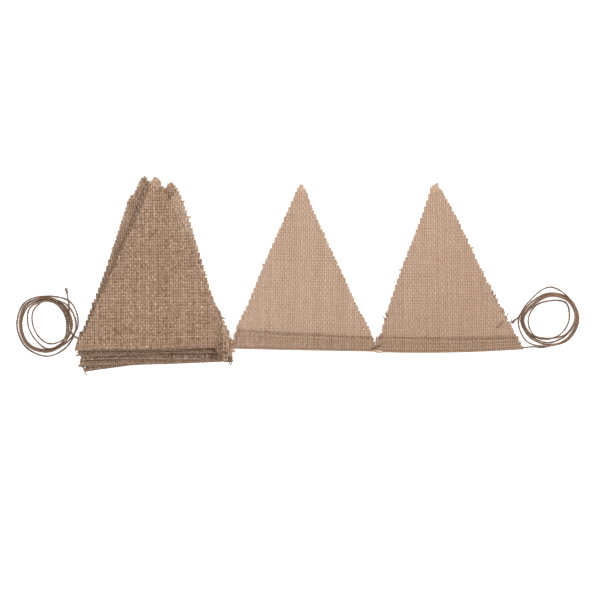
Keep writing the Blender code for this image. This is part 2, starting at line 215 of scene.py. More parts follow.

# Threads and yarns that have come loose, and dark strands of painted shade in shaded hollows: each
# one's thickness, its tone and the points that it passes, as x, y and z
LOOSE_AND_SHADE_STRANDS = (
    # At the stack's left side
    (0.5, 0.42, (-203.0, -25.0, 11.0), (-207.5, -28.4, 9.5), (-210.8, -29.8, 6.0)),
    (0.4, 0.5, (-192.0, -14.0, 11.5), (-196.6, -16.4, 10.0), (-199.6, -20.0, 6.5)),
    (0.5, 0.46, (-178.0, 44.0, 8.5), (-181.8, 46.6, 7.5), (-184.6, 45.2, 4.5)),
    (1.2, 0.32, (-215.8, -94.5, 3.5), (-214.2, -98.2, 2.6), (-212.4, -101.0, 1.2)),
    # At its lower right corner
    (1.0, 0.0, (-70.4, -85.4, 22.6), (-68.4, -90.2, 17.0), (-67.0, -87.0, 20.0), (-67.2, -81.2, 25.0)),
    # Painted shade: a short dark strand that stands for the shaded hole in the top pennant's dropped
    # corner
    (1.8, 0.02, (-73.9, -76.6, 28.3), (-73.0, -77.4, 28.2), (-72.1, -78.3, 27.8)),
    # Painted shade: a dark strand along the curve of the shadow under the top pennant's hem
    (1.4, 0.06, (-78.8, -76.4, 28.6), (-76.8, -80.7, 28.1), (-75.5, -83.2, 27.0)),
    (1.3, 0.1, (-70.6, -80.9, 26.8), (-68.3, -81.9, 26.3), (-68.1, -84.9, 23.9)),
    (1.2, 0.12, (-70.3, -85.0, 24.0), (-68.9, -82.6, 26.0), (-68.0, -81.1, 26.8)),
    (1.3, 0.02, (-68.6, -69.5, 27.5), (-68.5, -71.0, 28.4), (-68.4, -72.3, 28.8)),
    (1.0, 0.8, (-74.8, -79.2, 27.7), (-74.9, -81.7, 26.6), (-74.9, -84.1, 25.4)),
    (0.9, 0.75, (-75.5, -85.0, 24.6), (-73.4, -85.1, 24.2), (-71.3, -84.8, 23.6)),
    (1.4, 0.7, (-67.3, -67.2, 26.0), (-67.1, -68.1, 26.6), (-67.0, -68.9, 27.2)),
    (1.3, 0.32, (-68.0, -78.7, 25.6), (-67.9, -82.7, 23.8), (-67.9, -86.2, 18.9)),
    (1.2, 0.28, (-69.3, -78.7, 25.6), (-69.2, -82.7, 23.8), (-69.1, -86.4, 18.6)),
    (1.6, 0.38, (-69.4, -64.6, 23.4), (-66.8, -65.8, 24.2), (-64.2, -66.2, 22.5)),
    (1.6, 0.34, (-69.2, -66.8, 25.0), (-66.6, -67.8, 25.6), (-63.8, -67.8, 23.0)),
    (0.35, 0.3, (-67.8, -75.6, 21.0), (-65.2, -76.2, 20.0), (-62.4, -77.8, 17.5)),
    # At the right pennant's right side
    (0.6, 0.6, (205.0, -38.0, 1.3), (208.6, -38.9, 1.4), (210.6, -37.4, 0.8)),
    # At the stack's tips
    (0.4, 0.45, (-128.0, 92.0, 11.0), (-127.2, 96.2, 9.5), (-126.4, 98.6, 7.0)),
    (0.4, 0.45, (-155.0, 95.0, 2.0), (-154.6, 98.4, 1.6), (-155.8, 100.4, 1.0)),
    (0.8, 0.05, (-155.6, 92.0, 1.2), (-155.3, 95.5, 1.3), (-155.4, 98.4, 0.9)),
    (0.9, 0.1, (-131.0, 85.2, 7.5), (-131.3, 89.0, 7.6), (-131.1, 92.8, 7.0)),
    (0.6, 0.35, (-129.0, 90.0, 7.6), (-129.1, 93.0, 7.4), (-129.0, 96.0, 6.6)),
    (0.8, 0.08, (-127.2, 85.6, 7.6), (-127.0, 89.0, 7.7), (-127.2, 91.6, 7.2)),
    # Painted shade: this and the next three dark strands fill the shaded hollow beside the fourth
    # pennant's tip
    (1.5, -0.3, (-132.8, 83.0, 7.1), (-132.5, 81.8, 7.3), (-132.2, 80.7, 7.1)),
    (1.3, -0.3, (-129.9, 81.8, 7.0), (-130.2, 78.5, 7.2), (-129.9, 75.6, 7.2)),
    (1.3, -0.3, (-127.6, 82.0, 7.0), (-128.2, 79.0, 7.2), (-129.2, 75.8, 7.2)),
    (1.1, -0.15, (-126.2, 82.0, 7.1), (-125.9, 80.0, 7.3), (-125.2, 78.0, 7.3)),
    (1.3, 0.45, (-131.6, 83.8, 7.4), (-128.6, 86.6, 7.8), (-125.6, 87.6, 7.5)),
    (1.2, 0.4, (-130.6, 82.8, 7.5), (-127.6, 84.4, 7.8), (-124.4, 83.6, 7.4)),
    # Painted shade too, in the same hollow
    (1.2, -0.25, (-124.8, 84.5, 7.4), (-124.0, 83.8, 7.5), (-123.4, 83.1, 7.3)),
    # At the middle pennant's tip
    (0.5, 0.6, (0.4, 86.2, 1.0), (-0.8, 87.8, 1.1), (-2.2, 88.8, 0.8)),
    (0.45, 0.55, (1.6, 88.2, 1.1), (1.7, 90.0, 1.1), (1.0, 91.6, 0.8)),
    (0.45, 0.5, (2.8, 88.0, 1.2), (3.6, 90.0, 1.1), (3.9, 92.4, 0.8)),
    # Tufts at the right pennant's sides, and a yarn pulled from it
    (1.0, -0.05, (88.2, -42.4, 1.0), (86.8, -40.4, 1.2), (84.9, -38.2, 0.8)),
    (0.9, -0.05, (85.8, -46.2, 1.0), (84.8, -44.0, 1.2), (83.6, -41.8, 0.8)),
    (0.9, 0.0, (81.2, -64.6, 2.3), (80.0, -62.2, 2.2), (79.0, -59.8, 1.6)),
    (0.9, -0.05, (192.4, -20.0, 1.1), (193.2, -18.2, 1.2), (193.8, -16.2, 0.8)),
    (0.9, -0.05, (194.6, -23.4, 1.0), (195.8, -21.6, 1.2), (196.2, -19.2, 0.8)),
    (0.9, -0.05, (196.0, -26.2, 1.0), (197.8, -24.8, 1.2), (199.6, -23.6, 0.8)),
    (0.9, -0.05, (202.6, -38.2, 0.9), (203.6, -36.0, 1.1), (203.9, -33.6, 0.7)),
    (0.9, -0.05, (206.0, -43.6, 1.1), (207.4, -41.6, 1.2), (208.4, -39.0, 0.7)),
    (0.9, -0.05, (210.6, -49.8, 0.9), (211.6, -47.2, 1.1), (211.7, -44.4, 0.7)),
    (0.9, 0.05, (197.4, -53.2, 1.1), (200.6, -51.0, 1.3), (203.2, -46.4, 1.0)),
)

# Where the twine goes from the middle pennant into the right one: a dark strand over a pale bunch of
# yarns that has been pulled from the hem's corner
JOINT_STRAND = ((71.2, -74.6, 3.4), (74.2, -73.8, 4.9), (77.6, -72.2, 5.0), (80.6, -71.2, 3.4))
JOINT_STRAND_WIDTH = 1.2
JOINT_STRAND_TONE = 0.30
JOINT_BUNCH = {"left": (72.4, -76.6), "right": (85.0, -77.3), "belly": 2.9, "height": 5.2, "strands": 9,
               "width": 0.8, "tone": 0.80}

# The twine. It has two plies, so its section is a ring that stands out on two sides.
TAIL = 1.9                  # its diameter in the tails
LAY = 5.0                   # the length in which its plies turn once
PLY_REACH = 0.87            # its middling half width, times half its diameter
PLY_LOBE = 0.17             # and how far the two plies stand out past that
TWIST_WAVES = (37.0, 71.0)          # the lengths of the waves in which it's twisted more and less,
TWINE_SLUB_WAVES = (7.0, 17.0, 43.0)    # in which it thickens
TWINE_TONE_WAVES = (5.0, 19.0, 67.0)    # and in which it pales
RING_SPACING = 0.62         # from one ring to the next in the tails
HEM_RING_SPACING = 1.1      # and in the hems
STRAND_SPACING = 0.5        # and in plain threads
CHANNEL_POINTS = 36         # the points that its curve passes in each hem
KNOT_TURNS = 2.3            # the knot at each outer mouth of the hems: the turns of its strand
KNOT_RADIUS = 0.85
KNOT_LENGTH = 1.9
KNOT_STRAND = 1.1           # that strand's thickness
KNOT_TONE = 0.34

# Where a tail lies: its lead from the hem as x, y and z, the radii of each turn of its coil at the
# eight compass points in the order in which the twine runs, and its free end as x and y.
LEFT_TAIL = {
    "centre": (-251.7, -51.3), "first": 0.0,
    "lead": ((-217.0, -64.0, 2.1), (-221.0, -63.7, 1.9), (-225.3, -61.7, 1.2), (-228.3, -57.4, 0.85)),
    "turns": (
        (22.7, 24.4, 26.0, 27.5, 25.9, 26.0, 24.2, 23.4),
        (24.6, 25.8, 28.2, 29.4, 26.9, 26.9, 25.4, 25.2),
        (30.2, 32.8, 29.6, 32.6, 30.8, 30.6, 30.6, 28.4),
        (28.6, 28.4, 27.2, 30.4, 27.7, 28.1, 26.3, 24.2),
        (20.8, 22.6, 24.6, 25.0, 19.4, 18.4, 23.0, 22.2),
        (19.3, 21.2, 25.4, 20.5, 14.6, 13.9, 17.6, 20.8),
        (24.2,),
    ),
    "end": ((-230.2, -35.8), (-230.4, -29.6), (-231.6, -22.6), (-233.1, -14.8)),
}
RIGHT_TAIL = {
    "centre": (249.2, -45.6), "first": 270.0,
    "lead": ((220.3, -73.4, 2.1), (226.2, -73.0, 1.5), (230.0, -72.6, 1.2), (233.6, -72.4, 0.9),
             (241.2, -73.2, 0.85)),
    "turns": (
        (26.2, 28.0, 30.0, 29.8, 26.8, 24.8, 27.7, 25.6),
        (24.6, 26.8, 28.9, 28.8, 25.8, 24.6, 30.2, 30.6),
        (25.8, 25.6, 27.7, 27.8, 24.7, 22.6, 26.4, 23.9),
        (22.6, 22.8, 26.4, 26.7, 23.5, 21.2, 25.2, 22.6),
        (18.9, 18.4, 20.2, 24.0, 18.9, 19.3, 20.4, 21.4),
        (18.2, 21.4, 25.4, 29.2, 32.8),
    ),
    "end": ((238.5, -18.2), (231.5, -25.2), (224.5, -32.7), (219.6, -41.4), (213.2, -48.0)),
}
CLIMB = 4.5                 # a strand begins to rise this far before another that it crosses
APART_ALONG = 9.0           # strands nearer than this along the twine don't count as crossing
SETTLE_ROUNDS = 8           # how often the strands' heights are worked out again

# Colours: of jute from the dark of its gaps to its palest fibres, of the twine likewise, of the
# sewing thread and of the floor
JUTE_DARK = (0.134, 0.075, 0.041)
JUTE_MID = (0.330, 0.219, 0.152)
JUTE_PALE = (0.560, 0.420, 0.322)
TWINE_DARK = (0.052, 0.030, 0.019)
TWINE_MID = (0.172, 0.104, 0.068)
TWINE_PALE = (0.340, 0.228, 0.152)
THREAD = (0.520, 0.392, 0.290)
FLOOR = (0.93, 0.93, 0.93)
WHITE = (1.0, 1.0, 1.0, 1.0)
STREAK_STEP = 0.35          # how fast the fibres' streaks change along a yarn, for each mm
PATCH_SCALE = 26.0          # how many slow patches of tone there are in a metre of cloth
BUMP_DEPTH = 0.12           # how deep the fibres' relief is

# Light. The floor glows a little, as the sheet of a light table does.
FLOOR_GLOW = 0.50
SKY_STRENGTH = 1.20
KEY_PLACE = (900.0, 850.0, 1500.0)
KEY_SIZE = 900.0
KEY_POWER = 28.0


def smooth(t):
    """0 below 0, 1 above 1 and an even S between them."""
    t = np.clip(t, 0.0, 1.0)
    return t * t * (3.0 - 2.0 * t)


def ridge(offset, half_width):
    """1 within CREST of offset 0, falling as a raised cosine to 0 at half_width either side."""
    past = (np.abs(offset) - CREST) / (half_width - CREST)
    return 0.5 + 0.5 * np.cos(math.pi * np.clip(past, 0.0, 1.0))


def swell(v, quarters):
    """A smooth curve through 0 at both ends and the three given values at the quarter points."""
    knots = np.array((0.0, 0.25, 0.5, 0.75, 1.0))
    values = (0.0, *quarters, 0.0)
    total = np.zeros_like(v)
    for index, value in enumerate(values):
        others = np.delete(knots, index)
        total += value * np.prod([(v - other) / (knots[index] - other) for other in others], axis=0)
    return total


def fold_axes(row):
    """The fold's left end, its width, the unit vector along it and the one towards the tip."""
    left = np.array(row["left"])
    along = np.array(row["right"]) - left
    width = np.hypot(*along)
    along = along / width
    return left, width, along, np.array((-along[1], along[0]))


def tallness(row):
    """The height of the tip above the fold's line."""
    left, _, _, up = fold_axes(row)
    return (np.array(row["tip"]) - left) @ up


def corner_drop(row, u):
    """How far the fold's right end hangs, at the share u of its width."""
    return row["drop"] * smooth((u - DROP_FROM) / DROP_LENGTH)


def fold_drop(row, u):
    """How far the fold lies below the straight line between its ends, at the share u of its width."""
    return row["fold_bow"] * 4.0 * u * (1.0 - u) + corner_drop(row, u)


def twine_height(row, u):
    """How far the twine lies above the fold, at the share u of the fold's width."""
    return 0.5 * TURN + corner_drop(row, u) + row["stray"] * smooth((STRAY_TO - u) / STRAY_TO)


def flap_edge(row, u):
    """How far the flap's raw edge lies above the fold: straight from its left end to its right end."""
    left, right = row["hem"]
    return left + (right - left) * np.clip(u, 0.0, 1.0)


def hem_spacing(row, u, above_fold):
    """The distance between the middles of a hem's two layers: LAYERS, more round the twine."""
    return LAYERS + (TURN - LAYERS) * ridge(above_fold - twine_height(row, u), PART_WIDTH)


def lift(x, y):
    """How far the middle pennant's left end is held off the surface."""
    left = MIDDLE["left"]
    near = np.clip(1.0 - (x - left[0]) / LIFT_LENGTH, 0.0, 1.2)
    return LIFT * near**2 * (1.0 - smooth((y - left[1] - HEM) / LIFT_FADE))


def support(row, x, y):
    """The height of what a pennant lies on: the sum of what each pennant below it adds there."""
    if row["level"] is None:
        return lift(x, y) if row is MIDDLE else np.zeros_like(x)
    height = np.zeros_like(x)
    for lower in STACK[: row["level"]]:
        left, width, along, up = fold_axes(lower)
        u = ((x - left[0]) * along[0] + (y - left[1]) * along[1]) / width
        above = (x - left[0]) * up[0] + (y - left[1]) * up[1]
        here = smooth((above + END_RAMP + GAP) / END_RAMP)
        over_hem = 1.0 - smooth((above - HEM - OVER_HEM) / HEM_RAMP)
        over_twine = ridge(above - twine_height(lower, np.clip(u, 0.0, 1.0)), RIDGE_WIDTH)
        height += here * (BODY_PITCH + HEM_PITCH * over_hem) + TWINE_PITCH * over_twine
    return height


def tilt(row, x, y):
    """The cosine and sine of the support's slope towards the tip."""
    _, _, _, up = fold_axes(row)
    reach = 0.5 * PROBE * up
    rise = support(row, x + reach[0], y + reach[1]) - support(row, x - reach[0], y - reach[1])
    slope = rise / PROBE
    cosine = 1.0 / np.sqrt(1.0 + slope**2)
    return cosine, slope * cosine


def leaning(row, across, above_line, beyond, rise):
    """Points of a section that stands on the support and leans with it.

    Its foot is at across and above_line, measured along and up from the line between the fold's ends.
    From the middle of the lowest cloth there, the point is beyond it, away from the tip, and rise
    above it, both turned by the support's slope.
    """
    left, _, along, up = fold_axes(row)
    x = left[0] + along[0] * across + up[0] * above_line
    y = left[1] + along[1] * across + up[1] * above_line
    cosine, sine = tilt(row, x, y)
    shift = -beyond * cosine - rise * sine
    z = support(row, x, y) + 0.5 * CLOTH - beyond * sine + rise * cosine
    return np.stack((x + up[0] * shift, y + up[1] * shift, z), axis=-1)


def cut_edges(row, height):
    """Where the cut sides lie along the fold's line, at a height above it."""
    left, width, along, up = fold_axes(row)
    tip_along = (np.array(row["tip"]) - left) @ along
    share = height / tallness(row)
    v = 1.0 - np.clip(share, 0.0, 1.0)
    draw, stretch = row["point"]
    inset = draw * np.clip((height - tallness(row)) / stretch + 1.0, 0.0, 1.0) ** 2
    edge_left = (tip_along - 0.5 * TIP) * share - swell(v, row["bow_left"]) + inset
    edge_right = width + (tip_along + 0.5 * TIP - width) * share + swell(v, row["bow_right"]) - inset
    return edge_left, edge_right


def outline(row, height):
    """The cut sides as they're frayed and pulled: out past the fold's ends, and bellied above them."""
    edge_left, edge_right = cut_edges(row, height)
    near_fold = 1.0 - smooth(height / HEM)
    bellied = 0.5 + 0.5 * np.cos(math.pi * np.clip(np.abs(height - BELLY_AT) / BELLY_SPREAD, 0.0, 1.0))
    left, right = (reach * near_fold + belly * bellied for reach, belly in zip(row["reach"], row["belly"]))
    return edge_left - left, edge_right + right


def cloth_point(row, across, down):
    """A point on the middle of a pennant's cloth.

    across is measured along the fold's line from its left end. down is measured on the cloth from
    the tip: down the front to the fold, half a circle round it, and up the flap. The front and the
    flap lie on the support at the hem's spacing, and all of a hem's section leans with the support.
    """
    edge_left, edge_right = cut_edges(row, np.full_like(across, 0.5 * TURN))
    u = np.clip((across - edge_left) / (edge_right - edge_left), 0.0, 1.0)
    flap_up = row["flap"] == "up"
    drop = fold_drop(row, u)
    radius = 0.5 * hem_spacing(row, u, 0.5 * TURN)
    past = down - (tallness(row) - radius)
    on_flap = past > math.pi * radius
    turning = (past > 0.0) & ~on_flap

    height = np.where(on_flap, radius + past - math.pi * radius, radius - past)
    above_line = height - drop * np.clip(1.0 - (height - radius) / DROP_REACH, 0.0, 1.0)
    apart = hem_spacing(row, u, above_line + drop)
    over_flap = 1.0 - smooth((above_line - HEM - OVER_FLAP) / MAIN_RAMP)
    front_rise = 0.0 if flap_up else apart * over_flap
    rise = np.where(on_flap, apart if flap_up else 0.0, front_rise)

    angle = np.clip(past / radius, 0.0, math.pi)
    turned = radius * (1.0 - np.cos(angle))
    above_line = np.where(turning, radius - drop, above_line)
    beyond = np.where(turning, radius * np.sin(angle), 0.0)
    rise = np.where(turning, turned if flap_up else 2.0 * radius - turned, rise)
    return leaning(row, across, above_line, beyond, rise)


def unit(vectors):
    """The vectors at length 1."""
    return vectors / np.linalg.norm(vectors, axis=-1, keepdims=True)


def across_run(run):
    """Two directions across each of the directions in run: a level one, and one that points up."""
    side = unit(np.cross(np.array((0.0, 0.0, 1.0)), run))
    return side, np.cross(run, side)


def cloth_frame(row, across, down):
    """Points on the cloth with its directions there: across, down, and out of its front face."""
    step = 0.3
    point = cloth_point(row, across, down)
    side = unit(cloth_point(row, across + step, down) - cloth_point(row, across - step, down))
    along = unit(cloth_point(row, across, down + step) - cloth_point(row, across, down - step))
    return point, side, along, unit(np.cross(along, side))


def wander(rng, rows, along, lengths, amount):
    """A slow random wave for each row of yarns: the mean of sines of the given wave lengths."""
    total = np.zeros(along.shape)
    for length in lengths:
        phase = rng.uniform(0.0, 2.0 * math.pi, (rows, 1))
        total += np.sin(2.0 * math.pi * along / length + phase)
    return amount * total / math.sqrt(len(lengths))


def run_ends(shown):
    """In each row, where the runs of shown rings begin and where they end."""
    before = np.pad(shown[:, :-1], ((0, 0), (1, 0)))
    after = np.pad(shown[:, 1:], ((0, 0), (0, 1)))
    return shown & ~before, shown & ~after


def tubes(centre, side, rise, sides, along, tone, shown=None):
    """Closed tubes, one for each row of centres.

    A ring is centre + cos(turn) side + sin(turn) rise, with side, rise and the way the tube runs
    right-handed. Rings that aren't shown are left out, and the first and last shown ring is capped.
    """
    rows, steps, _ = centre.shape
    shown = np.ones((rows, steps), bool) if shown is None else shown
    turn = 2.0 * math.pi * np.arange(sides) / sides
    ring = (centre[:, :, None]
            + np.cos(turn)[:, None] * side[:, :, None]
            + np.sin(turn)[:, None] * rise[:, :, None])
    index = np.arange(rows * steps * sides).reshape(rows, steps, sides)
    following = np.roll(index, -1, axis=2)
    joined = shown[:, :-1] & shown[:, 1:]
    walls = np.stack((index[:, :-1], following[:, :-1], following[:, 1:], index[:, 1:]), axis=-1)
    round_from = np.broadcast_to(np.arange(sides) / sides, (rows, steps - 1, sides))
    round_to = round_from + 1.0 / sides
    here = np.broadcast_to(along[:, :-1, None], round_from.shape)
    there = np.broadcast_to(along[:, 1:, None], round_from.shape)
    wall_uvs = np.stack((np.stack((here, round_from), -1), np.stack((here, round_to), -1),
                         np.stack((there, round_to), -1), np.stack((there, round_from), -1)), axis=-2)
    quads = [walls[joined].reshape(-1, 4)]
    uvs = [wall_uvs[joined].reshape(-1, 4, 2)]

    for ends, flip in zip(run_ends(shown), (True, False)):
        caps = index[ends]
        for corner in range(0, sides - 2, 2):
            fan = [0, corner + 1, corner + 2, corner + 3]
            quads.append(caps[:, fan[::-1] if flip else fan])
            cap_uv = np.stack((along[ends], np.full(len(caps), 0.5)), axis=-1)
            uvs.append(np.repeat(cap_uv[:, None], 4, axis=1))
    tones = np.repeat(tone.reshape(-1), sides)
    return ring.reshape(-1, 3), np.concatenate(quads), np.concatenate(uvs), tones


def join(shells):
    """Several shells as one."""
    shift = np.cumsum([0] + [len(shell[0]) for shell in shells[:-1]])
    return (np.concatenate([shell[0] for shell in shells]),
            np.concatenate([shell[1] + start for shell, start in zip(shells, shift)]),
            np.concatenate([shell[2] for shell in shells]),
            np.concatenate([shell[3] for shell in shells]))


def piece(name, shell, material):
    """A mesh object from a shell, without the points that no face uses."""
    points, quads, uvs, tones = shell
    used, corners = np.unique(quads, return_inverse=True)
    mesh = bpy.data.meshes.new(name)
    mesh.vertices.add(len(used))
    mesh.vertices.foreach_set("co", (points[used] * METRES).ravel())
    mesh.loops.add(corners.size)
    mesh.loops.foreach_set("vertex_index", corners.ravel().astype(np.int32))
    mesh.polygons.add(len(quads))
    mesh.polygons.foreach_set("loop_start", np.arange(0, corners.size, 4, dtype=np.int32))
    layer = mesh.uv_layers.new(name="yarn")
    layer.data.foreach_set("uv", uvs.astype(np.float32).ravel())
    mesh.attributes.new("tone", "FLOAT", "POINT").data.foreach_set("value", tones[used].astype(np.float32))
    mesh.update(calc_edges=True)
    mesh.validate()
    mesh.shade_smooth()
    mesh.materials.append(material)
    obj = bpy.data.objects.new(name, mesh)
    bpy.context.scene.collection.objects.link(obj)
    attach(obj, "root")
    return obj


def fibres(start, direction, bend, length, width, tone):
    """Hairs: thin tapered tubes from the start points, curving from direction towards bend.

    A hair's middle at the share s of its length is start + length (s direction + s squared bend).
    """
    share = np.array((0.0, 0.55, 1.0))
    centre = (start[:, None]
              + share[:, None] * (direction * length[:, None])[:, None]
              + (share**2)[:, None] * (bend * length[:, None])[:, None])
    run = unit(direction[:, None] + 2.0 * share[:, None] * bend[:, None])
    side = unit(np.cross(run, np.array((0.31, 0.22, 0.92))))
    rise = np.cross(run, side)
    half = 0.5 * width * np.array((1.0, 0.85, 0.4))
    tones = np.broadcast_to(tone[:, None], centre.shape[:2])
    along = np.broadcast_to(share * 3.0, centre.shape[:2])
    return above_floor(tubes(centre, side * half[:, None], rise * half[:, None], 4, along, tones))


def above_floor(shell):
    """The shell with no point below the floor."""
    points = shell[0].copy()
    points[:, 2] = np.maximum(points[:, 2], 0.0)
    return (points, *shell[1:])


def strand(points, width, sides, tone):
    """A plain round thread: circles of the given width on a curve through the points."""
    route = curve_through(points, STRAND_SPACING)
    side, rise = across_run(unit(np.gradient(route, axis=0)))
    along = STRAND_SPACING * np.arange(len(route))[None]
    tones = np.full(along.shape, tone)
    half = 0.5 * width
    return above_floor(tubes(route[None], side[None] * half, rise[None] * half, sides, along, tones))


def yarn_samples(count, pitch, rings):
    """Where a yarn's rings stand: one at each crossing, or two, CRIMP_FLAT of the pitch either side."""
    crossing = np.repeat(np.arange(count), rings)
    offset = np.tile((-CRIMP_FLAT, CRIMP_FLAT) if rings == 2 else (0.0,), count)
    return crossing, (crossing + 0.5 + offset) * pitch


def cloth_tone(row, across, down):
    """How pale the cloth is: from the tip's tone to the fold's, then the flap's, with painted shade at its
    raw edge.
    """
    _, width, _, _ = fold_axes(row)
    climbed = down - tallness(row) - (0.5 * math.pi - 1.0) * TURN
    tip, low, flap = row["tone"]
    front = tip + (low - tip) * np.clip(down / tallness(row), 0.0, 1.0) ** 2
    front = front + TIP_PALE * smooth(1.0 - down / TIP_PALE_TO)
    edge = flap_edge(row, across / width)
    # painted shade along the flap's raw edge
    at_edge = smooth((climbed - edge + EDGE_SHADE_FROM) / EDGE_SHADE_RAMP)
    return front + (flap - front) * (climbed > 0.0) - EDGE_SHADE * at_edge


def edge_fray(rng, count, usual):
    """How far each yarn's end stands past the cut: about the usual, and more where it was pulled."""
    pulled = rng.uniform(0.0, 1.0, count) < PULLED
    return usual * rng.uniform(-0.2, 1.0, count) + pulled * PULLED_OUT * rng.uniform(0.3, 1.0, count)


def laid_yarns(row, rng, run_along, places, samples, crossing, begin, finish):
    """One family of yarns of a pennant as tubes, with their ends' places for the frayed fibres.

    Each yarn keeps its place across the family, apart from slow waves, and takes its rings from the
    samples between where it begins and finishes. It rises by CRIMP over one crossing and dips as far
    under the next. Its width is wider where the cloth is crowded, END_TAPER times that at its two
    ends and, for a long yarn on the flap, FLAP_OPEN times that.
    """
    count = len(places)
    inside = (samples > begin[:, None]) & (samples < finish[:, None])
    shown = inside.copy()
    shown[:, :-1] |= inside[:, 1:]
    shown[:, 1:] |= inside[:, :-1]
    run = np.clip(np.broadcast_to(samples, inside.shape), begin[:, None], finish[:, None])
    stray = wander(rng, count, run, STRAY_WAVES, STRAY) + rng.normal(0.0, STRAY_STEP, (count, 1))
    place = places[:, None] + row["uneven"] * stray
    across, down = (place, run) if run_along else (run, place)
    point, side, along, out = cloth_frame(row, across, down)
    wave = -CRIMP * (-1.0) ** (np.arange(count)[:, None] + crossing)
    slub = wander(rng, count, run, SLUB_WAVES, SLUB) + rng.normal(0.0, SLUB_STEP, (count, 1))
    edge_left, edge_right = cut_edges(row, np.maximum(tallness(row) - down, 0.0))
    beyond = np.maximum(edge_left - across, across - edge_right)
    crowded = np.maximum(smooth((TIP_DENSE_TO - down) / (0.7 * TIP_DENSE_TO)), smooth(beyond / 1.5))
    dense = 1.0 + DENSE * crowded
    on_flap = down > tallness(row) + (0.5 * math.pi - 1.0) * TURN
    width = row["widths"][0 if run_along else 1] * dense * (1.0 + row["uneven"] * slub)
    width = width * np.where(on_flap & run_along, FLAP_OPEN, 1.0)
    width = width * np.where(shown & ~inside, END_TAPER, 1.0)
    thick = LONG_THICK if run_along else CROSS_THICK
    uneven = LONG_UNEVEN if run_along else CROSS_UNEVEN
    from_yarn = rng.normal(0.0, uneven, (count, 1)) + wander(rng, count, run, TONE_WAVES, TONE_WAVE)
    tone = (0.5 + cloth_tone(row, across, down) + TONE_UNEVEN * row["uneven"] * from_yarn
            + rng.normal(0.0, row["speckle"], run.shape) * np.where(on_flap, FLAP_SPECKLE, 1.0))
    centre = point + out * wave[..., None]
    flat = (side if run_along else -along) * (0.5 * width)[..., None]
    shell = tubes(centre, flat, out * 0.5 * thick, row["sides"], run, tone, shown)

    forward = along if run_along else side
    ends = [(centre[mask], forward[mask] * sign, flat[mask], out[mask], tone[mask])
            for mask, sign in zip(run_ends(shown), (-1.0, 1.0))]
    return shell, [np.concatenate(parts) for parts in zip(*ends)]


def frayed(ends, rng, number, reach):
    """Loose fibres at yarn ends: each leaves the yarn's width at random, splayed and curling."""
    centre, forward, flat, out, tone = (np.repeat(part, number, axis=0) for part in ends)
    count = len(centre)
    start = centre + flat * rng.uniform(-0.8, 0.8, (count, 1)) - forward * 0.3
    sideways = unit(flat)
    direction = unit(forward + sideways * rng.normal(0.0, TUFT_SPLAY, (count, 1))
                     + out * rng.normal(0.0, 0.12, (count, 1)))
    bend = sideways * rng.normal(0.0, 0.25, (count, 1)) + out * rng.normal(0.0, 0.05, (count, 1))
    length = reach * rng.uniform(0.25, 1.0, count) ** 1.6
    return fibres(start, direction, bend, length, TUFT_WIDTH, tone + rng.normal(0.08, 0.06, count))


def fuzz(row, rng, number):
    """Fine fibres that stand off both faces of the cloth, evenly spread over it at random."""
    tall = tallness(row)
    height = tall * (1.0 - np.sqrt(rng.uniform(0.0, 1.0, number)))
    edge_left, edge_right = cut_edges(row, height)
    across = edge_left + (edge_right - edge_left) * rng.uniform(0.03, 0.97, number)
    point, side, along, out = cloth_frame(row, across, tall - height)
    angle = rng.uniform(0.0, 2.0 * math.pi, (number, 1))
    level = side * np.cos(angle) + along * np.sin(angle)
    face = np.where(rng.uniform(size=(number, 1)) < 0.5, -1.0, 1.0)
    start = point + out * face * 0.34
    direction = unit(level + out * face * 0.16)
    curl = (side * np.sin(angle) - along * np.cos(angle)) * rng.normal(0.0, 0.3, (number, 1))
    bend = curl - out * face * 0.1
    length = rng.uniform(1.0, 3.4, number)
    return fibres(start, direction, bend, length, HAIR_WIDTH, rng.normal(0.66, 0.08, number))


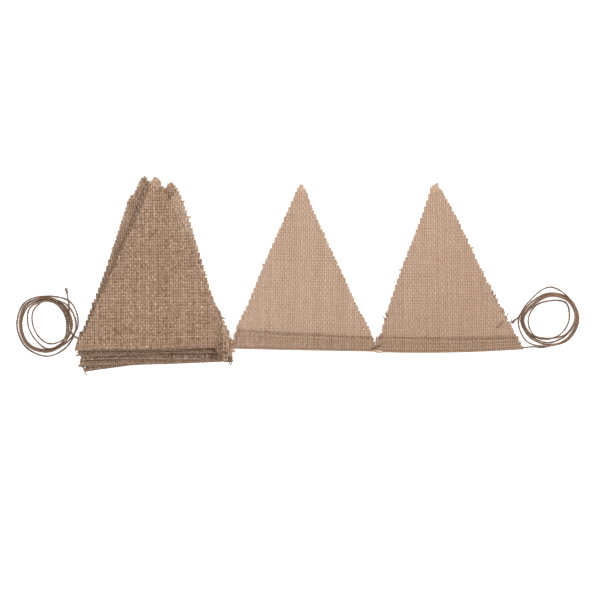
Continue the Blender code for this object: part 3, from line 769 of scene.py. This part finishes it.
def pennant(row, rng, material):
    """A pennant woven on its surface: both families of yarns, frayed ends and surface fibres.

    Its flat size is the cut width at the fold, with CUT_FRAY, by the length from the tip round the
    fold to the raw edge. Its flat area is the front's mean width by its height, and the flap's mean
    width by its mean depth.
    """
    _, width, _, _ = fold_axes(row)
    tall = tallness(row)
    radius = 0.5 * TURN
    to_flap = tall + (math.pi - 2.0) * radius
    length = to_flap + max(row["hem"])
    end_left, end_right = outline(row, np.array((radius,)))
    # With this phase the flap's cross yarns lie over the gaps of the front's
    phase = 0.5 * ((tall + to_flap - 1.5 * CROSS_PITCH) % CROSS_PITCH) - 0.25 * CROSS_PITCH

    # Long yarns: each runs from the cut side down to the fold and up the flap to its raw edge, or less
    # far where the flap's side draws in. A place beside the cloth gets a yarn of no length.
    long_count = math.ceil((width + 4.0) / LONG_PITCH)
    long_start = 0.5 * (width - long_count * LONG_PITCH)
    places = long_start + (np.arange(long_count) + 0.5) * LONG_PITCH
    heights = np.linspace(0.0, tall, 600)
    edge_left, edge_right = outline(row, heights)
    front_width = np.mean(edge_right - edge_left)
    within = (places[:, None] > edge_left) & (places[:, None] < edge_right)
    top = np.where(within.any(axis=1), heights[within.shape[1] - 1 - within[:, ::-1].argmax(axis=1)], -9.0)
    near_tip = smooth((top - 0.93 * tall) / (0.05 * tall))
    begin = tall - top - edge_fray(rng, long_count, FRAY + (TIP_FRAY - FRAY) * near_tip)
    finish = to_flap + flap_edge(row, places / width) + rng.uniform(-0.5, 0.5, long_count)
    inside = np.minimum((places - end_left) / max(-row["flare"][0], 1e-6),
                        (end_right - places) / max(-row["flare"][1], 1e-6))
    finish = np.where(inside < 1.0, to_flap + HEM * np.maximum(inside, 0.0), finish)
    finish = np.where(top < 0.0, begin, finish)
    cross_count = math.ceil((length + TIP_FRAY) / CROSS_PITCH) + 1
    crossing, samples = yarn_samples(cross_count + 2, CROSS_PITCH, row["rings"])
    samples = samples - CROSS_PITCH + phase
    long_shell, long_ends = laid_yarns(row, rng, True, places, samples, crossing, begin, finish)

    # Cross yarns: each runs between the cut sides on the front and round the fold, and on the flap
    # between the fold's ends, as far as the raw edge lies above it
    places = (np.arange(cross_count) + 0.5) * CROSS_PITCH + phase
    places = places[places < length - 0.3 * CROSS_PITCH]
    climbed = places - to_flap
    on_flap = places > tall - radius
    height = np.where(on_flap, radius, np.maximum(tall - places, 0.0))
    edge_left, edge_right = outline(row, height)
    at_left, at_right = row["hem"]
    reached = np.clip((at_left - climbed) / max(at_left - at_right, 1e-6), 0.0, 1.0)
    flare_left, flare_right = (flare * np.clip(climbed / HEM, 0.0, 1.0) for flare in row["flare"])
    edge_left = np.where(on_flap, end_left - flare_left, edge_left)
    edge_right = np.where(on_flap, end_left + (end_right + flare_right - end_left) * reached, edge_right)
    usual = np.where(places > tall - HEM, HEM_FRAY, FRAY)
    begin = edge_left - edge_fray(rng, len(places), usual)
    finish = edge_right + edge_fray(rng, len(places), usual)
    crossing, samples = yarn_samples(long_count + 4, LONG_PITCH, row["rings"])
    samples = samples + long_start - 2.0 * LONG_PITCH
    cross_shell, cross_ends = laid_yarns(row, rng, False, places, samples, crossing, begin, finish)

    obj = piece("woven_" + row["name"], join([long_shell, cross_shell]), material)
    loose = [frayed(long_ends, rng, row["ends"], LONG_TUFT),
             frayed(cross_ends, rng, row["ends"], CROSS_TUFT),
             fuzz(row, rng, row["hairs"])]
    hairs = piece("fibres_" + row["name"], join(loose), material)
    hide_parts(row["name"])
    cut_width = (end_right - end_left)[0]
    flap_tall = to_flap - tall + 0.5 * sum(row["hem"])
    area = front_width * tall + (cut_width + 0.5 * sum(row["flare"])) * flap_tall
    return obj, hairs, ((cut_width + CUT_FRAY) * METRES, length * METRES), area * METRES**2


def stitches(row, rng, material):
    """The hem's running stitches on its front and on its flap.

    Each is a short tube along the hem that rises out of the cloth at one end and sinks in again at
    the other. Their line lies STITCH_INSET below the flap's raw edge, and strays by slow waves.
    """
    _, width, _, _ = fold_axes(row)
    tall = tallness(row)
    outward = -1.0 if row["flap"] == "up" else 1.0
    edge_left, edge_right = cut_edges(row, np.array((HEM,)))
    starts = np.arange(edge_left[0] + 1.0, edge_right[0] - STITCH_LENGTH, STITCH_PITCH)
    across = starts[:, None] + STITCH_LENGTH * np.array(STITCH_RUN)
    height = flap_edge(row, across / width) - STITCH_INSET
    height = height + wander(rng, 1, across, STITCH_WAVES, STITCH_WANDER)
    shells = []
    for down in (tall - height, tall + (0.5 * math.pi - 1.0) * TURN + height):
        point, side, along, out = cloth_frame(row, across, down)
        rise = outward * np.array(STITCH_RISE)
        half = 0.5 * STITCH_WIDTH
        tone = np.broadcast_to(0.5 + rng.normal(0.0, 0.05, (len(starts), 1)), across.shape)
        shells.append(tubes(point + out * rise[:, None], -along * half, out * half * 0.8, 4, across, tone))
    return piece("stitches_" + row["name"], join(shells), material)


def loose_yarns_and_shade_strands(material):
    """Threads and yarns that have come loose from the cut edges, each where it lies, and dark strands of
    painted shade in shaded hollows.
    """
    shells = [strand(points, width, 6, tone) for width, tone, *points in LOOSE_AND_SHADE_STRANDS]
    piece("loose_yarns_and_shade_strands", join(shells), material)


def joint_bunch(rng, material):
    """The pale bunch at the right hem's corner: strands that part in the middle and meet at both ends.

    A strand lies off the line between the ends by belly times sin(pi share) times its own place in
    the bunch, from -1/2 to 1/2 sideways, and is highest in the middle.
    """
    facts = JOINT_BUNCH
    share = np.linspace(0.0, 1.0, 7)
    swollen = np.sin(math.pi * share)
    start, end = np.array(facts["left"]), np.array(facts["right"])
    shells = []
    for turn in np.linspace(0.0, 1.0, facts["strands"]):
        flat = start + (end - start) * share[:, None]
        flat[:, 1] += facts["belly"] * (turn - 0.5) * swollen + rng.normal(0.0, 0.12, len(share))
        level = facts["height"] * (0.35 + 0.65 * swollen * math.sqrt(1.0 - (2.0 * turn - 1.0) ** 2))
        points = np.column_stack((flat, level))
        shells.append(strand(points, facts["width"], 6, facts["tone"] + rng.normal(0.0, 0.06)))
    piece("joint_bunch", join(shells), material)


def curve_through(knots, spacing):
    """Points a set distance apart on a cubic curve through the knots.

    The slope at a knot is the mean of the slopes of the chords beside it, the shorter counting more.
    """
    knots = np.asarray(knots, float)
    step = np.diff(knots, axis=0)
    chord = np.linalg.norm(step, axis=1)
    reached = np.concatenate(((0.0,), np.cumsum(chord)))
    run = step / chord[:, None]
    before, after = chord[:-1, None], chord[1:, None]
    slope = np.vstack((run[:1], (run[:-1] * after + run[1:] * before) / (before + after), run[-1:]))
    place = np.linspace(0.0, reached[-1], round(reached[-1] / spacing) + 1)
    part = np.clip(np.searchsorted(reached, place, side="right") - 1, 0, len(chord) - 1)
    long = chord[part][:, None]
    t = ((place - reached[part]) / chord[part])[:, None]
    return (knots[part] * (1.0 + 2.0 * t) * (1.0 - t) ** 2 + long * slope[part] * t * (1.0 - t) ** 2
            + knots[part + 1] * t**2 * (3.0 - 2.0 * t) - long * slope[part + 1] * t**2 * (1.0 - t))


def laid_heights(route, diameter, spacing):
    """The route with every strand lifted over the earlier strands that it crosses or touches.

    Over an earlier strand it lies where the two round sections touch. The lift is spread out to a
    long low hump, and is worked out again until the uppermost strands have settled.
    """
    order = np.arange(len(route)) * spacing
    earlier = order[None] < order[:, None] - APART_ALONG
    apart = np.linalg.norm(route[:, None, :2] - route[None, :, :2], axis=2)
    touching = earlier & (apart < diameter)
    above = np.where(touching, np.sqrt(np.maximum(diameter**2 - apart**2, 0.0)), -np.inf)
    reach = round(CLIMB / spacing)
    window = np.hanning(2 * reach + 3)[1:-1]
    height = route[:, 2].copy()
    for _ in range(SETTLE_ROUNDS):
        need = np.maximum(route[:, 2], (height + above).max(axis=1))
        padded = np.pad(need, 2 * reach, mode="edge")
        highest = np.lib.stride_tricks.sliding_window_view(padded, 2 * reach + 1).max(axis=1)
        height = np.convolve(highest, window / window.sum(), mode="valid")
    return np.column_stack((route[:, :2], height))


def tail_route(tail):
    """A tail's centre line: the lead, the coil's turns by their radii, and the free end."""
    centre = np.array(tail["centre"])
    radii = np.concatenate([np.array(turn) for turn in tail["turns"]])
    angle = np.radians(tail["first"] + 45.0 * np.arange(len(radii)))
    coil = centre + radii[:, None] * np.column_stack((np.cos(angle), np.sin(angle)))
    on_floor = np.full((len(coil), 1), 0.5 * TAIL)
    end = np.column_stack((np.array(tail["end"]), np.full(len(tail["end"]), 0.5 * TAIL)))
    knots = np.vstack((np.array(tail["lead"]), np.hstack((coil, on_floor)), end))
    route = curve_through(knots, RING_SPACING)
    return laid_heights(route, TAIL, RING_SPACING)


def twisted(route, diameter, sides, rng):
    """Two-ply twine along a route: a ring of two lobes that turns once in each LAY.

    The ring's radius at the angle a is half the diameter times PLY_REACH + PLY_LOBE cos 2a, times a
    slow wave for the twine's thick and thin places.
    """
    side, rise = across_run(unit(np.gradient(route, axis=0)))
    length = np.concatenate(((0.0,), np.cumsum(np.linalg.norm(np.diff(route, axis=0), axis=1))))
    turned = 2.0 * math.pi * length / LAY + wander(rng, 1, length[None], TWIST_WAVES, 0.5)[0]
    slub = 1.0 + wander(rng, 1, length[None], TWINE_SLUB_WAVES, 0.09)[0]
    turn = 2.0 * math.pi * np.arange(sides) / sides
    lobe = 0.5 * diameter * (PLY_REACH + PLY_LOBE * np.cos(2.0 * turn)) * slub[:, None]
    angle = turn + turned[:, None]
    ring = (route[:, None] + (lobe * np.cos(angle))[..., None] * side[:, None]
            + (lobe * np.sin(angle))[..., None] * rise[:, None])
    shell = tubes(route[None], side[None], rise[None], sides, length[None],
                  0.5 + wander(rng, 1, length[None], TWINE_TONE_WAVES, 0.10))
    return ring.reshape(-1, 3), shell[1], shell[2], shell[3]


def twine_fuzz(route, diameter, rng, number):
    """Short fibres that stand off the twine all along, and a frayed tuft at its free end.

    The short ones leave the twine's surface at random angles round its upper half. Those of the tuft
    leave its last few millimetres, each splayed at random from the way the twine runs.
    """
    run = unit(np.gradient(route, axis=0))
    at = rng.integers(4, len(route) - 4, number)
    around = rng.uniform(0.0, 2.0 * math.pi, (number, 1))
    side, rise = across_run(run[at])
    off = side * np.cos(around) + rise * np.abs(np.sin(around))
    direction = unit(off + run[at] * rng.normal(0.0, 0.9, (number, 1)))
    bend = run[at] * rng.normal(0.0, 0.3, (number, 1))
    length = rng.uniform(0.4, 1.5, number)
    tone = rng.normal(0.62, 0.1, number)
    start = route[at] + off * 0.35 * diameter
    along_twine = fibres(start, direction, bend, length, TWINE_HAIR_WIDTH, tone)

    splay = rng.normal(0.0, 0.32, (END_FIBRES, 3)) * np.array((1.0, 1.0, 0.45))
    start = route[-1] - run[-1] * np.linspace(*END_TUFT, END_FIBRES)[:, None]
    start = start + rng.normal(0.0, 0.34, (END_FIBRES, 3))
    length = rng.uniform(2.0, 4.2, END_FIBRES)
    tone = rng.normal(0.24, 0.08, END_FIBRES)
    end_tuft = fibres(start, unit(run[-1] + splay), splay * 0.4, length, END_FIBRE_WIDTH, tone)
    return join([along_twine, end_tuft])


def knot(route):
    """The knot where a tail leaves the hem: a strand wound round it as a helix, widest in the middle."""
    share = np.linspace(0.0, 1.0, 25)[:, None]
    run = unit(route[3] - route[0])
    side, rise = across_run(run)
    angle = 2.0 * math.pi * KNOT_TURNS * share
    reach = KNOT_RADIUS * (0.75 + 0.35 * np.sin(math.pi * share))
    wound = route[0] + run * KNOT_LENGTH * share + reach * (np.cos(angle) * side + np.sin(angle) * rise)
    return strand(wound, KNOT_STRAND, 8, KNOT_TONE)


def tail(name, facts, nodes, rng, material):
    """One free tail of the twine, with its knot and fibres."""
    route = tail_route(facts)
    obj = piece(name, twisted(route, TAIL, 10, rng), material)
    small = join([twine_fuzz(route, TAIL, rng, TWINE_HAIRS), knot(route)])
    hairs = piece(name + "_knot_and_fibres", small, material)
    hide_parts(*nodes)


def channel(row, shares):
    """The twine's axis inside a hem at the given shares of its width, as points."""
    above_line = twine_height(row, shares) - fold_drop(row, shares)
    edge_left, edge_right = cut_edges(row, above_line)
    across = edge_left + (edge_right - edge_left) * shares
    return leaning(row, across, above_line, 0.0, TWINE_RISE)


def turn_back(start, end, outward):
    """The twine's swing from the end of one hem to the next, bulging outward as half a sine wave."""
    steps = np.arange(1, LOOP_STEPS) / LOOP_STEPS
    points = start + (end - start) * (0.5 - 0.5 * np.cos(math.pi * steps))[:, None]
    points[:, 0] += outward * LOOP_REACH * np.sin(math.pi * steps)
    return points


def hem_twine(rng, material):
    """The twine through all nine hems, from the right hem's mouth to the left tail's lead."""
    knots = []
    shares = np.linspace(0.0, 1.0, CHANNEL_POINTS)
    for index, row in enumerate(PENNANTS):
        leftward = row["level"] is None or row["level"] % 2 == 0
        within = shares if row["level"] is None else MOUTH + (1.0 - 2.0 * MOUTH) * shares
        inside = channel(row, within[::-1] if leftward else within)
        if index == 0:
            inside[0, 0] -= TWINE_INSET
        if index == len(PENNANTS) - 1:
            inside[-1, 0] += TWINE_INSET
        if row["level"] is not None and row is not STACK[-1]:
            knots.extend(turn_back(knots[-1], inside[0], 1.0 if leftward else -1.0))
        knots.extend(inside)
    route = curve_through(knots, HEM_RING_SPACING)
    shells = [twisted(route, TWINE, 6, rng),
              strand(JOINT_STRAND, JOINT_STRAND_WIDTH, 8, JOINT_STRAND_TONE)]
    obj = piece("hem_twine", join(shells), material)
    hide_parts("twine")


def wire(tree, node, inputs):
    """The node, with each input that is named given a value or another node's output."""
    for name, value in inputs.items():
        if isinstance(value, bpy.types.NodeSocket):
            tree.links.new(value, node.inputs[name])
        else:
            node.inputs[name].default_value = value
    return node


def maths(tree, operation, first, second):
    """The output of a Math node, with each input a number or another node's output."""
    node = tree.nodes.new("ShaderNodeMath")
    node.operation = operation
    return wire(tree, node, {0: first, 1: second}).outputs[0]


def spun_fibres():
    """The look of spun fibre on a yarn: streaks that turn round it once in each lay.

    The noise is read at the cosine and sine of the turned angle, so that it meets itself.
    """
    group = bpy.data.node_groups.new("spun_fibres", "ShaderNodeTree")
    for name, value in (("Along", 0.0), ("Round", 0.0), ("Lay", 6.0), ("Fineness", 2.4)):
        socket = group.interface.new_socket(name=name, in_out="INPUT", socket_type="NodeSocketFloat")
        socket.default_value = value
    for name in ("Shade", "Height"):
        group.interface.new_socket(name=name, in_out="OUTPUT", socket_type="NodeSocketFloat")
    given = group.nodes.new("NodeGroupInput").outputs
    turns = maths(group, "DIVIDE", given["Along"], given["Lay"])
    turns = maths(group, "ADD", turns, given["Round"])
    angle = maths(group, "MULTIPLY", turns, 2.0 * math.pi)
    spot = wire(group, group.nodes.new("ShaderNodeCombineXYZ"), {
        "X": maths(group, "COSINE", angle, 0.0),
        "Y": maths(group, "SINE", angle, 0.0),
        "Z": maths(group, "MULTIPLY", given["Along"], STREAK_STEP)})
    noise = wire(group, group.nodes.new("ShaderNodeTexNoise"), {
        "Vector": spot.outputs[0], "Scale": given["Fineness"], "Detail": 3.0, "Roughness": 0.6})
    fibre = noise.outputs["Fac"]
    shade = maths(group, "SUBTRACT", fibre, 0.5)
    wire(group, group.nodes.new("NodeGroupOutput"), {"Shade": shade, "Height": fibre})
    return group


def spun_material(name, group, colours, lay, streaks, patches, roughness):
    """Spun jute: its tone from the yarn, the streaks of its fibres and slow patches in the cloth."""
    material = bpy.data.materials.new(name)
    material.use_nodes = True
    tree = material.node_tree
    tone = tree.nodes.new("ShaderNodeAttribute")
    tone.attribute_name = "tone"
    yarn = tree.nodes.new("ShaderNodeUVMap")
    yarn.uv_map = "yarn"
    place = wire(tree, tree.nodes.new("ShaderNodeSeparateXYZ"), {"Vector": yarn.outputs[0]}).outputs
    spun = tree.nodes.new("ShaderNodeGroup")
    spun.node_tree = group
    wire(tree, spun, {"Lay": lay, "Along": place[0], "Round": place[1]})
    spot = tree.nodes.new("ShaderNodeTexCoord").outputs["Object"]
    patch = wire(tree, tree.nodes.new("ShaderNodeTexNoise"), {
        "Vector": spot, "Scale": PATCH_SCALE, "Detail": 2.0})
    slow = maths(tree, "SUBTRACT", patch.outputs["Fac"], 0.5)
    streaked = maths(tree, "MULTIPLY", spun.outputs["Shade"], streaks)
    value = maths(tree, "ADD", tone.outputs["Fac"], streaked)
    value = maths(tree, "ADD", value, maths(tree, "MULTIPLY", slow, patches))
    ramp = wire(tree, tree.nodes.new("ShaderNodeValToRGB"), {"Fac": value})
    ramp.color_ramp.elements[0].color = (*colours[0], 1.0)
    ramp.color_ramp.elements[1].color = (*colours[2], 1.0)
    ramp.color_ramp.elements.new(0.5).color = (*colours[1], 1.0)
    bump = wire(tree, tree.nodes.new("ShaderNodeBump"), {
        "Height": spun.outputs["Height"], "Strength": 0.5, "Distance": BUMP_DEPTH * METRES})
    wire(tree, tree.nodes["Principled BSDF"], {
        "Base Color": ramp.outputs["Color"], "Normal": bump.outputs["Normal"],
        "Roughness": roughness, "Specular IOR Level": 0.15})
    return material


def floor_and_light():
    """A pale floor, even light from all round and a large soft light high at the upper right."""
    bpy.ops.mesh.primitive_plane_add(size=6.0, location=(0.0, 0.0, -0.00005))
    floor = bpy.context.object
    floor.name = "floor"
    paint = bpy.data.materials.new("pale_floor")
    paint.use_nodes = True
    wire(paint.node_tree, paint.node_tree.nodes["Principled BSDF"], {
        "Base Color": (*FLOOR, 1.0), "Roughness": 0.9,
        "Emission Color": WHITE, "Emission Strength": FLOOR_GLOW})
    floor.data.materials.append(paint)

    world = bpy.data.worlds.new("soft_sky")
    world.use_nodes = True
    wire(world.node_tree, world.node_tree.nodes["Background"], {"Color": WHITE, "Strength": SKY_STRENGTH})
    bpy.context.scene.world = world
    bpy.context.scene.view_settings.view_transform = "Standard"

    key = bpy.data.lights.new("key", "AREA")
    key.energy = KEY_POWER
    key.size = KEY_SIZE * METRES
    lamp = bpy.data.objects.new("key", key)
    place = np.array(KEY_PLACE) * METRES
    lamp.location = place
    flat = math.hypot(place[0], place[1])
    lamp.rotation_euler = (math.atan2(flat, place[2]), 0.0, math.atan2(place[1], place[0]) + 0.5 * math.pi)
    bpy.context.scene.collection.objects.link(lamp)


def camera():
    """The camera high above the middle of the picture, looking straight down."""
    data = bpy.data.cameras.new("camera")
    data.sensor_width = SENSOR
    data.lens = SENSOR * VIEW_HEIGHT / VIEW_WIDTH
    data.clip_end = 100.0
    obj = bpy.data.objects.new("camera", data)
    obj.location = (VIEW_MIDDLE[0] * METRES, VIEW_MIDDLE[1] * METRES, VIEW_HEIGHT * METRES)
    bpy.context.scene.collection.objects.link(obj)
    bpy.context.scene.camera = obj


def main():
    """The camera, the floor and light, the twine, the loose threads and strands of painted shade, and then
    each pennant.
    """
    camera()
    floor_and_light()
    rng = np.random.default_rng(SEED)
    group = spun_fibres()
    hessian = spun_material("hessian_yarn", group, (JUTE_DARK, JUTE_MID, JUTE_PALE),
                            lay=7.0, streaks=0.5, patches=0.10, roughness=0.92)
    jute = spun_material("jute_twine", group, (TWINE_DARK, TWINE_MID, TWINE_PALE),
                         lay=LAY, streaks=0.7, patches=0.06, roughness=0.88)
    thread = spun_material("hem_thread", group, (JUTE_MID, THREAD, JUTE_PALE),
                           lay=2.0, streaks=0.3, patches=0.0, roughness=0.85)

    left_nodes = ("tail_left_lead", "tail_left_coil", "tail_left_end")
    right_nodes = ("tail_right_lead", "tail_right_coil", "tail_right_end")
    tail("left_tail", LEFT_TAIL, left_nodes, rng, jute)
    tail("right_tail", RIGHT_TAIL, right_nodes, rng, jute)
    hem_twine(rng, jute)
    loose_yarns_and_shade_strands(hessian)
    joint_bunch(rng, hessian)
    for row in PENNANTS:
        cloth, hairs, flat, area = pennant(row, rng, hessian)
        sewing = stitches(row, rng, thread)


main()
